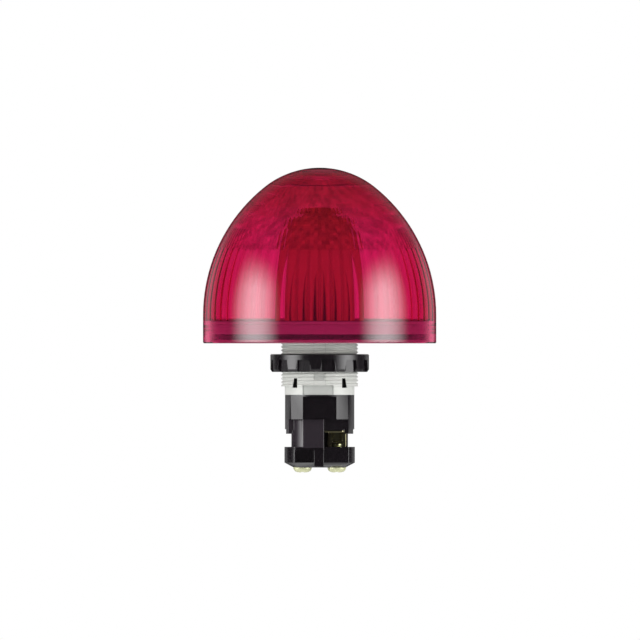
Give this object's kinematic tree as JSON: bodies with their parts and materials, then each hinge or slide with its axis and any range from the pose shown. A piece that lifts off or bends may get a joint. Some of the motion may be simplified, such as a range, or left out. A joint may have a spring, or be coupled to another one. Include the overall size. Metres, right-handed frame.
{
  "type": "panel pilot light",
  "caption": "Round pilot light for a machine panel: a tall clear red dome lens over a threaded barrel with locking nut, a bayonet lamp and a block with screw terminals.",
  "frame": {"origin": "on the barrel's axis, in the plane of the panel's front face, where the lens rim and the gasket seat", "axes": "+Z along the barrel's axis to the tip of the lens, -Y to the front, where one wire entry opens, and +X to the right of that view"},
  "size_m": [0.066, 0.066, 0.0863],
  "materials": {
    "lens_red": "clear red polycarbonate, polished outside, fluted inside",
    "seal_rubber": "moulded nitrile, matt",
    "diffuser_red": "frosted translucent red",
    "body_grey": "satin light grey moulding",
    "nut_black": "satin black nylon",
    "block_black": "satin black moulding",
    "brass": "stamped, bare",
    "nickel": "nickel plated brass",
    "spring_steel": "drawn spring wire",
    "fibre": "natural insulating disc",
    "screw_zinc": "yellow passivated zinc",
    "lamp_insulator_black": "fused black insulator",
    "solder": "solder",
    "sleeve_white": "white moulding",
    "board_green": "solder mask",
    "led_yellow": "LED chips",
    "cap_red": "clear red cap"
  },
  "bodies": {
    "operator": {"operator_body": "body_grey", "panel_gasket": "seal_rubber", "diffuser": "diffuser_red", "lamp_block": "block_black", "terminal_block": "block_black", "socket_shell": "nickel", "terminal_front": "brass", "terminal_back": "brass", "contact_spring": "spring_steel"},
    "lens_seal": {"lens_oring": "seal_rubber"},
    "lens": {"dome_lens": "lens_red"},
    "nut": {"locking_nut": "nut_black"},
    "lamp": {"lamp_shell": "nickel", "lamp_insulator": "lamp_insulator_black", "lamp_tip": "solder", "lamp_sleeve": "sleeve_white", "lamp_board": "board_green", "lamp_leds": "led_yellow", "lamp_cap": "cap_red"},
    "plunger": {"contact_plunger": "fibre", "plunger_rivet": "brass"},
    "clamp_front": {"saddle_front": "brass"},
    "driver_front": {"screw_front": "screw_zinc"},
    "clamp_back": {"saddle_back": "brass"},
    "driver_back": {"screw_back": "screw_zinc"}
  },
  "joints": [
    {"name": "lens_lift", "type": "slide", "parent": "operator", "child": "lens_seal", "axis": [0, 0, 1], "range_m": [0, 0.0036]},
    {"name": "lens_turn", "type": "hinge", "parent": "lens_seal", "child": "lens", "pos_m": [0, 0, 0.005], "axis": [0, 0, 1], "range_deg": [0, 1200]},
    {"name": "nut_turn", "type": "hinge", "parent": "operator", "child": "nut", "pos_m": [0, 0, -0.0055], "axis": [0, 0, 1], "range_deg": [-970, 730]},
    {"name": "lamp_turn", "type": "hinge", "parent": "operator", "child": "lamp", "pos_m": [0, 0, 0], "axis": [0, 0, 1], "range_deg": [0, 25]},
    {"name": "plunger_press", "type": "slide", "parent": "operator", "child": "plunger", "axis": [0, 0, -1], "range_m": [0, 0.0012], "stiffness_N_per_m": 900, "springref_m": -0.003, "deforming": ["contact_spring"]},
    {"name": "clamp_lift_front", "type": "slide", "parent": "operator", "child": "clamp_front", "axis": [0, 0, 1], "range_m": [0, 0.0015]},
    {"name": "screw_turn_front", "type": "hinge", "parent": "clamp_front", "child": "driver_front", "pos_m": [0.00485, 0, -0.03], "axis": [0, 0, 1], "range_deg": [0, 1080]},
    {"name": "clamp_lift_back", "type": "slide", "parent": "operator", "child": "clamp_back", "axis": [0, 0, 1], "range_m": [0, 0.0015]},
    {"name": "screw_turn_back", "type": "hinge", "parent": "clamp_back", "child": "driver_back", "pos_m": [-0.00485, 0, -0.03], "axis": [0, 0, 1], "range_deg": [0, 1080]}
  ],
  "couplings": [
    {"joint": "lens_lift", "follows": "lens_turn", "m_per_rad": 0.00016711},
    {"joint": "screw_turn_front", "follows": "clamp_lift_front", "rad_per_m": 12566},
    {"joint": "screw_turn_back", "follows": "clamp_lift_back", "rad_per_m": 12566}
  ]
}
